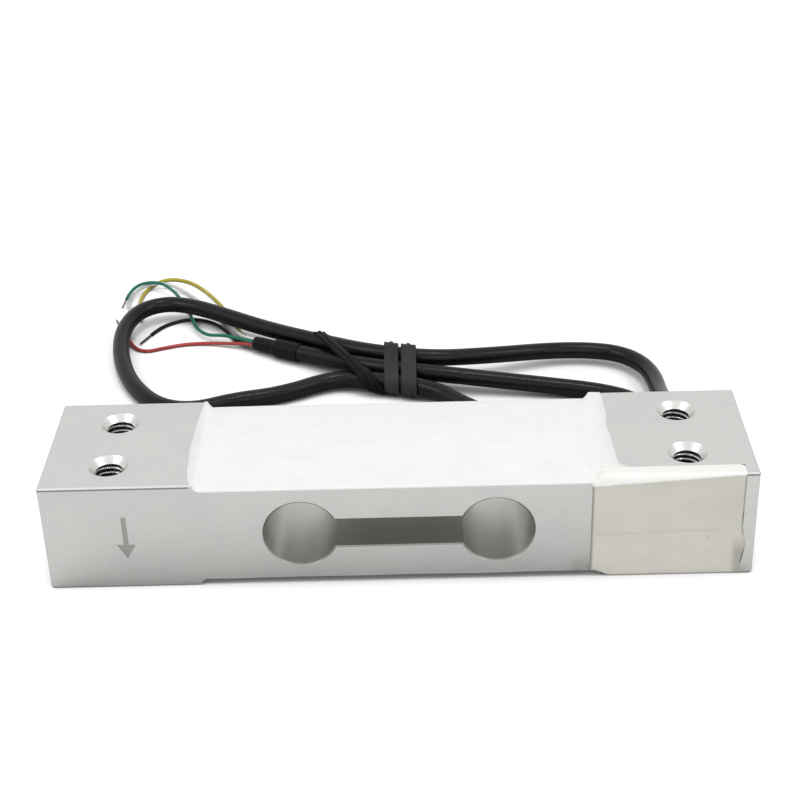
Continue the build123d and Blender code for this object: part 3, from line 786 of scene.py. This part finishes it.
# Underside of the free tail over the strands and the way that it faces, then its turn under the
# front strand
TAIL_PATH = [
    ((-0.0185, 0.0709, 0.0068), (0.28, 0.19, 1)),
    ((-0.0179, 0.07, 0.0067), (0.28, 0.19, 1)),
    ((-0.0169, 0.0684, 0.0068), (0.28, 0.19, 1)),
    ((-0.0141, 0.064, 0.0063), (0.25, 0.17, 1)),
    ((-0.0111, 0.0596, 0.0056), (0.2, 0.13, 1)),
    ((-0.0088, 0.0563, 0.005), (0.05, -0.05, 1)),
    ((-0.0071, 0.0539, 0.0043), (-0.2, -0.75, 0.62)),
    ((-0.0059, 0.0532, 0.0029), (-0.28, -0.96, 0)),
    ((-0.0042, 0.0536, 0.00135), (-0.2, -0.68, -0.7)),
    ((-0.0026, 0.0545, 0.00075), (0, 0, -1)),
    ((-0.0014, 0.0552, 0.00072), (0, 0, -1)),
]
TAIL_HALF_WIDTH = 0.0016


def strands_at(x):
    """Where the middles of the cable's strands cross a plane across the tie."""
    crossings = []
    for before, after in zip(cable_line, cable_line[1:]):
        if (before.x - x) * (after.x - x) < 0:
            crossings.append(before.lerp(after, (x - before.x) / (after.x - before.x)))
    return crossings


def tie_band(name, x, half_width):
    """One turn of the tie: its ribbed profile carried round the strands' common outline."""
    columns = []
    for along, height in TIE_PROFILE:
        place = x + along * half_width
        columns.append((strands_at(place), place, height))
    corners = 120
    rings = []
    for corner in range(corners):
        angle = math.tau * corner / corners
        outward = Vector((0, math.cos(angle), math.sin(angle)))
        ring = []
        for strands, place, height in columns:
            middle = max(strands, key=outward.dot)
            uneven = noise.noise(Vector((place * 900, angle * 2, 0.5))) * TIE_UNEVEN
            point = middle + outward * (CABLE_DIAMETER / 2 + TIE_GAP + (height + uneven) * MM)
            ring.append((place + uneven * MM, point.y, max(point.z, TIE_LOWEST)))
        rings.append(ring)
    return skin(name, rings, tie_plastic, closed=True)


def smooth_between(points, share):
    """A Catmull-Rom point between the middle two of four points."""
    a, b, c, d = points
    second = 2 * a - 5 * b + 4 * c - d
    third = 3 * b - a - 3 * c + d
    return 0.5 * (2 * b + (c - a) * share + second * share**2 + third * share**3)


def tie_tail():
    """The tie's free end, lying slantwise over the strands."""
    places = [Vector(place) for place, facing in TAIL_PATH]
    facings = [Vector(facing) for place, facing in TAIL_PATH]
    steps = 6
    last = len(places) - 1
    row = []
    for i in range(last):
        four = [min(max(i + k, 0), last) for k in (-1, 0, 1, 2)]
        for step in range(steps):
            share = step / steps
            row.append([smooth_between([values[k] for k in four], share) for values in (places, facings)])
    row.append([places[last], facings[last]])
    rings = []
    for index, (place, facing) in enumerate(row):
        ahead = row[min(index + 1, len(row) - 1)][0] - row[max(index - 1, 0)][0]
        facing = (facing - ahead * (facing.dot(ahead) / ahead.length_squared)).normalized()
        across = facing.cross(ahead).normalized()
        ring = []
        for along, height in TIE_PROFILE:
            point = place + across * (along * TAIL_HALF_WIDTH) + facing * (height * MM)
            point.z = max(point.z, TIE_LOWEST)
            ring.append(point)
        rings.append(ring)
    return skin("tie_tail", rings, tail_plastic)


tie_pieces = [tie_band(*band) for band in BANDS] + [tie_tail()]
for piece in tie_pieces:
    keep_sharp(piece, 60)
    stand_in(piece, "tie_grey", "twist_tie")


# Silicone

# Thickness of the coat on the recess's floor: at its front and rear, in its middle, and at least
COAT_EDGE = 0.0003
COAT_CROWN = 0.0009
COAT_THINNEST = 0.00002
# Where along X the coat starts to rise to its ends, and how much later that is at front and rear
COAT_RISE_X = 0.0325
COAT_RISE_LATER = 0.0042
# How far the upper and the lower coat stand over the face at their left and right ends
UPPER_LIPS = (0.00007, 0.0002)
LOWER_LIPS = (-0.0004, -0.0004)
# Width of the rim along the coat's front and rear, and its drop on the upper and the lower face
COAT_RIM_WIDTH = 0.0006
COAT_RIM_DROP = {1: 0.00008, -1: 0.00026}


def waver(*place, size=1.0):
    """Smooth unevenness between about -size and size."""
    return noise.noise(Vector(place)) * 2 * size


def smooth_step(value, low, high):
    """0 below low, 1 above high, and an even curve between them."""
    share = min(max((value - low) / (high - low), 0), 1)
    return share * share * (3 - 2 * share)


def recess_floor_depth(x):
    """Depth of the recess below the beam's face at x."""
    past = abs(x) - (RECESS_HALF_LENGTH - RECESS_CORNER)
    if past <= 0:
        return RECESS_DEPTH
    if past >= RECESS_CORNER:
        return 0.0
    return RECESS_DEPTH - RECESS_CORNER + math.sqrt(RECESS_CORNER**2 - past**2)


def between(row, place):
    """The value at a place in a row of (place, value) pairs, straight between neighbours."""
    for (start, first), (end, second) in zip(row, row[1:]):
        if place <= end:
            return first + (second - first) * max(0, (place - start) / (end - start))
    return row[-1][1]


# Places along Y, and where along X the upper coat feathers out there, in millimetres
LEFT_BORDER = [
    (-15, -37.4), (-12.8, -37.85), (-9.5, -38.3), (-5.5, -38.5), (0, -38.48), (5.5, -38.3),
    (10, -37.95), (15, -37.6),
]
RIGHT_BORDER = [
    (-12, 41.9), (-11.6, 40.9), (-10.8, 40.25), (-8.6, 39.85), (-5.5, 39.75), (-1.5, 39.55), (2.5, 39.35),
    (7.5, 39.6), (12.5, 39.5), (15, 39.3),
]
# Stations along X inside one half of a recess, in millimetres
COAT_STATIONS = [
    3, 6, 9, 12, 15, 18, 21, 24, 27, 30, 32, 33, 34, 34.6, 34.99, 35.01, 35.3, 35.6, 35.9, 36.2,
    36.5, 36.7, 36.9,
]
# Stations from a recess's end to the border, as shares of the way
FEATHER_STATIONS = (0, 0.2, 0.4, 0.6, 0.75, 0.88, 0.96, 1)
COAT_COLUMNS = 28


def coat_height(x, y, lip):
    """How far the crowned coat stands over the beam's face inside the recess."""
    out = abs(y) / REAR_Y
    crown = 1 - out**2
    middle = COAT_EDGE + (COAT_CROWN - COAT_EDGE) * crown - RECESS_DEPTH
    rise = smooth_step(abs(x), COAT_RISE_X + COAT_RISE_LATER * out**6, RECESS_HALF_LENGTH)
    return middle + (lip - middle) * rise


def coat(name, level, lips, borders, clear_of_notch):
    """Silicone over one recess. level is 1 for the upper face and -1 for the lower, lips are how far
    it stands over the face at its left and right ends, and borders where it feathers out there."""
    inner = [-x * MM for x in reversed(COAT_STATIONS)] + [0.0] + [x * MM for x in COAT_STATIONS]
    stations = [(x, 0) for x in inner]
    if borders:
        stations = [(-RECESS_HALF_LENGTH, share) for share in reversed(FEATHER_STATIONS)] + stations
        stations += [(RECESS_HALF_LENGTH, share) for share in FEATHER_STATIONS]
    rings = []
    for station, share in stations:
        low_y = NOTCH_FLOOR_Y if clear_of_notch and station > NOTCH_LEFT else FRONT_Y
        side = 0 if station < 0 else 1
        feather = 1 - smooth_step(share, 0.35, 1)
        upper, lower = [], []
        for column in range(COAT_COLUMNS + 1):
            y = low_y + (REAR_Y - low_y) * (0.5 - 0.5 * math.cos(math.pi * column / COAT_COLUMNS))
            x = station
            if share:
                x += (between(borders[side], y / MM) * MM - station) * share
                x += waver(y * 220, level, side * 4 + 3, size=0.0001) * share
            top = coat_height(station, y, lips[side] * feather)
            top += waver(x * 120, y * 160, level, size=0.00003)
            rim = 1 - smooth_step(min(y - low_y, REAR_Y - y), 0, COAT_RIM_WIDTH)
            top -= COAT_RIM_DROP[level] * rim
            bottom = -recess_floor_depth(x)
            upper.append((x, y, max(top, bottom + COAT_THINNEST)))
            lower.append((x, y, bottom))
        face = BEAM_HEIGHT if level > 0 else 0.0
        rings.append([(x, y, face + level * z) for x, y, z in upper + lower[::-1]])
    return skin(name, rings, silicone_white)


top_coat = coat("top_coat", 1, UPPER_LIPS, (LEFT_BORDER, RIGHT_BORDER), True)
bottom_coat = coat("bottom_coat", -1, LOWER_LIPS, None, False)
for piece, node in ((top_coat, "top_sealant"), (bottom_coat, "bottom_sealant")):
    keep_sharp(piece, 40)
    stand_in(piece, "white_silicone", node)

# Places along X, and how far down the notch's silicone rolls over at its top there, in millimetres
FILL_ROLLS = [(35, 2.3), (38, 2.1), (41.8, 1.75), (45, 1.45), (49, 1.15), (56.6, 0.85), (62.6, 0.6)]
# At its left the silicone stops short of the notch's bottom and top: by how much, and where along X
FILL_SHORT_BELOW, FILL_SHORT_BELOW_X = 0.0014, (0.0355, 0.0388)
FILL_SHORT_ABOVE, FILL_SHORT_ABOVE_X = 0.0011, (0.0352, 0.0374)
FILL_LOWEST = 0.00005
# Where along X its roll grows to full depth, and the width and depth of its left border's groove
FILL_ROLL_GROWS_X = (0.0355, 0.042)
FILL_GROOVE_WIDTH, FILL_GROOVE_DEPTH = 0.0006, 0.00012
# How far its foot draws back and how high that reaches, and the depth and width of its crease
FILL_FOOT_DEPTH, FILL_FOOT_HEIGHT = 0.0004, 0.0006
FILL_CREASE_DEPTH, FILL_CREASE_WIDTH = 0.00009, 0.0003
# How far it stands out from the beam's front face, and that again at its right border
FILL_PROUD = 0.00002
# Where its right border starts, and the lobe and the dent there: size, middle and half width in Z
FILL_BORDER_X = 0.0596
FILL_LOBE = (0.0007, 0.0068, 0.0018)
FILL_DENT = (-0.00025, 0.0126, 0.0014)


def hump(value, height, middle, width):
    """A smooth bump."""
    return height * math.exp(-((value - middle) / width) ** 2)


def rolled(distance, size):
    """How far a rounded edge of a given size has drawn back at a distance from it, from 0 to 1."""
    share = min(max(distance / size, 0), 1)
    return 1 - math.sqrt(1 - (1 - share) ** 2)


def notch_fill():
    """Silicone levelled off by hand in the wiring notch: a rolled top, dips, a crease and a lobe
    pressed over the beam's face at its right border."""
    stations, rows = 48, 44
    rings = []
    for station in range(stations + 1):
        share = 0.5 - 0.5 * math.cos(math.pi * station / stations)
        x = NOTCH_LEFT + (NOTCH_RIGHT - NOTCH_LEFT) * share
        low_z = FILL_LOWEST + FILL_SHORT_BELOW * (1 - smooth_step(x, *FILL_SHORT_BELOW_X))
        high_z = BEAM_HEIGHT - FILL_SHORT_ABOVE * (1 - smooth_step(x, *FILL_SHORT_ABOVE_X))
        roll = between(FILL_ROLLS, x / MM) * MM
        roll_depth = roll * (0.2 + 0.4 * smooth_step(x, *FILL_ROLL_GROWS_X))
        at_left = 1 - smooth_step(x - NOTCH_LEFT, 0, FILL_GROOVE_WIDTH)
        at_right = smooth_step(x, FILL_BORDER_X, NOTCH_RIGHT)
        crease_z = CREASE_Z + CREASE_SLOPE * x
        front, back = [], []
        for row in range(rows + 1):
            z = low_z + (high_z - low_z) * (0.5 - 0.5 * math.cos(math.pi * row / rows))
            lobe = hump(z, *FILL_LOBE) + hump(z, *FILL_DENT)
            dip = roll_depth * rolled(high_z - z, roll)
            dip += FILL_FOOT_DEPTH * rolled(z - low_z, FILL_FOOT_HEIGHT)
            dip += FILL_GROOVE_DEPTH * at_left + hump(z, FILL_CREASE_DEPTH, crease_z, FILL_CREASE_WIDTH)
            dip += abs(waver(x * 110, z * 110, 2, size=0.00004)) * (1 - at_right)
            shift = (lobe + waver(z * 260, 9, 4, size=0.00006)) * at_right
            front.append((x + shift, FRONT_Y - FILL_PROUD - FILL_PROUD * at_right + dip, z))
            back.append((x, NOTCH_FLOOR_Y, z))
        rings.append([*front, *reversed(back)])
    return skin("notch_fill", rings, silicone_ivory)


fill = notch_fill()
keep_sharp(fill, 55)
stand_in(fill, "ivory_silicone", "side_sealant")


# Floor, light and camera

FLOOR_SIZE = 6
# How far the floor looks for the object, for its painted shadow close by and further round
CLOSE_REACH, ROUND_REACH = 0.03, 0.08
SEEN_GLOW = 0.4
MIRRORED_GLOW = 0.1
WORLD_LIGHT = 0.43
# Name, place, target, side and power in watts of each lamp
LAMPS = [
    ("left_box", (-0.5, -0.19, 0.59), (0, 0, 0.01), 0.26, 1.15),
    ("right_box", (0.5, -0.19, 0.59), (0, 0, 0.01), 0.26, 1.15),
    ("top_box", (0, 0.05, 0.8), (0, 0.05, 0), 0.15, 1.3),
    ("front_fill", (0.1, -0.8, 0.35), (0, 0, 0.01), 0.6, 1.9),
]


def stage_floor():
    """A floor that keeps its shadow, with a contact shadow also painted into its tone and glow from
    ambient occlusion, and is white elsewhere, to the camera and in the metal.
    """
    bpy.ops.mesh.primitive_plane_add(size=FLOOR_SIZE)
    floor = bpy.context.object
    floor.name = "floor"
    m = Shader("floor", Roughness=0.9, Specular_IOR_Level=0.0)
    rays = m.node("LightPath").outputs
    near = m.node("AmbientOcclusion", {"Distance": CLOSE_REACH}, samples=16).outputs["AO"]
    around = m.node("AmbientOcclusion", {"Distance": ROUND_REACH}, samples=16).outputs["AO"]
    # Painted contact shadow: the floor's tone and glow darken near the object, to the camera and in
    # reflections
    seen_tone_painted_shadow = m.mix(m.ramp(near, 0.15, 0.55, 0, 1), srgb(170, 170, 170), srgb(231, 231, 231))
    open_floor = m.ramp(around, 0.5, 0.9, 0, 1)
    mirrored_tone_painted_shadow = m.mix(open_floor, srgb(172, 172, 172), srgb(240, 240, 240))
    clear = m.any_of(rays["Is Glossy Ray"], rays["Is Transmission Ray"])
    m.link(m.mix(clear, seen_tone_painted_shadow, mirrored_tone_painted_shadow), "Base Color")
    m.bsdf.inputs["Emission Color"].default_value = (1, 1, 1, 1)
    seen_glow = m.all_of(rays["Is Camera Ray"], m.ramp(near, 0.25, 0.7, 0, 1), SEEN_GLOW)
    mirrored_glow = m.all_of(clear, open_floor, MIRRORED_GLOW)
    m.link(m.math("ADD", seen_glow, mirrored_glow), "Emission Strength")
    floor.data.materials.append(m.material)


def soft_box(name, place, target, size, power):
    """A square area lamp aimed at a point."""
    data = bpy.data.lights.new(name, "AREA")
    data.size = size
    data.energy = power
    lamp = bpy.data.objects.new(name, data)
    lamp.location = place
    lamp.rotation_euler = (Vector(target) - Vector(place)).to_track_quat("-Z", "Y").to_euler()
    scene.collection.objects.link(lamp)


def studio_world():
    """White behind the object, and an even soft light on it."""
    world = bpy.data.worlds.new("studio")
    world.use_nodes = True
    scene.world = world
    nodes, links = world.node_tree.nodes, world.node_tree.links
    rays = nodes.new("ShaderNodeLightPath").outputs
    seen = nodes.new("ShaderNodeMath")
    seen.operation = "MAXIMUM"
    links.new(rays["Is Camera Ray"], seen.inputs[0])
    clear = nodes.new("ShaderNodeMath")
    clear.operation = "MAXIMUM"
    links.new(rays["Is Glossy Ray"], clear.inputs[0])
    links.new(rays["Is Transmission Ray"], clear.inputs[1])
    links.new(clear.outputs[0], seen.inputs[1])
    strength = nodes.new("ShaderNodeMapRange")
    strength.inputs[3].default_value = WORLD_LIGHT
    strength.inputs[4].default_value = 1.0
    links.new(seen.outputs[0], strength.inputs[0])
    background = nodes["Background"]
    background.inputs[0].default_value = (1, 1, 1, 1)
    links.new(strength.outputs[0], background.inputs[1])


def photo_camera():
    """The camera that took the photograph."""
    yaw, pitch, roll = CAMERA_YAW, CAMERA_PITCH, CAMERA_ROLL
    ahead = Vector((-math.sin(yaw) * math.cos(pitch), math.cos(yaw) * math.cos(pitch), -math.sin(pitch)))
    right = Vector((math.cos(yaw), math.sin(yaw), 0))
    up = right.cross(ahead)
    rolled_right = right * math.cos(roll) + up * math.sin(roll)
    rolled_up = up * math.cos(roll) - right * math.sin(roll)
    data = bpy.data.cameras.new("photo_camera")
    data.sensor_width = SENSOR_MM
    data.lens = FOCAL_PIXELS / PICTURE * SENSOR_MM
    data.clip_start = 0.01
    camera = bpy.data.objects.new("photo_camera", data)
    turn = Matrix((rolled_right, rolled_up, -ahead)).transposed()
    camera.matrix_world = Matrix.Translation(CAMERA_PLACE) @ turn.to_4x4()
    scene.collection.objects.link(camera)
    scene.camera = camera


stage_floor()
studio_world()
for lamp in LAMPS:
    soft_box(*lamp)
photo_camera()
scene.view_settings.view_transform = "Standard"
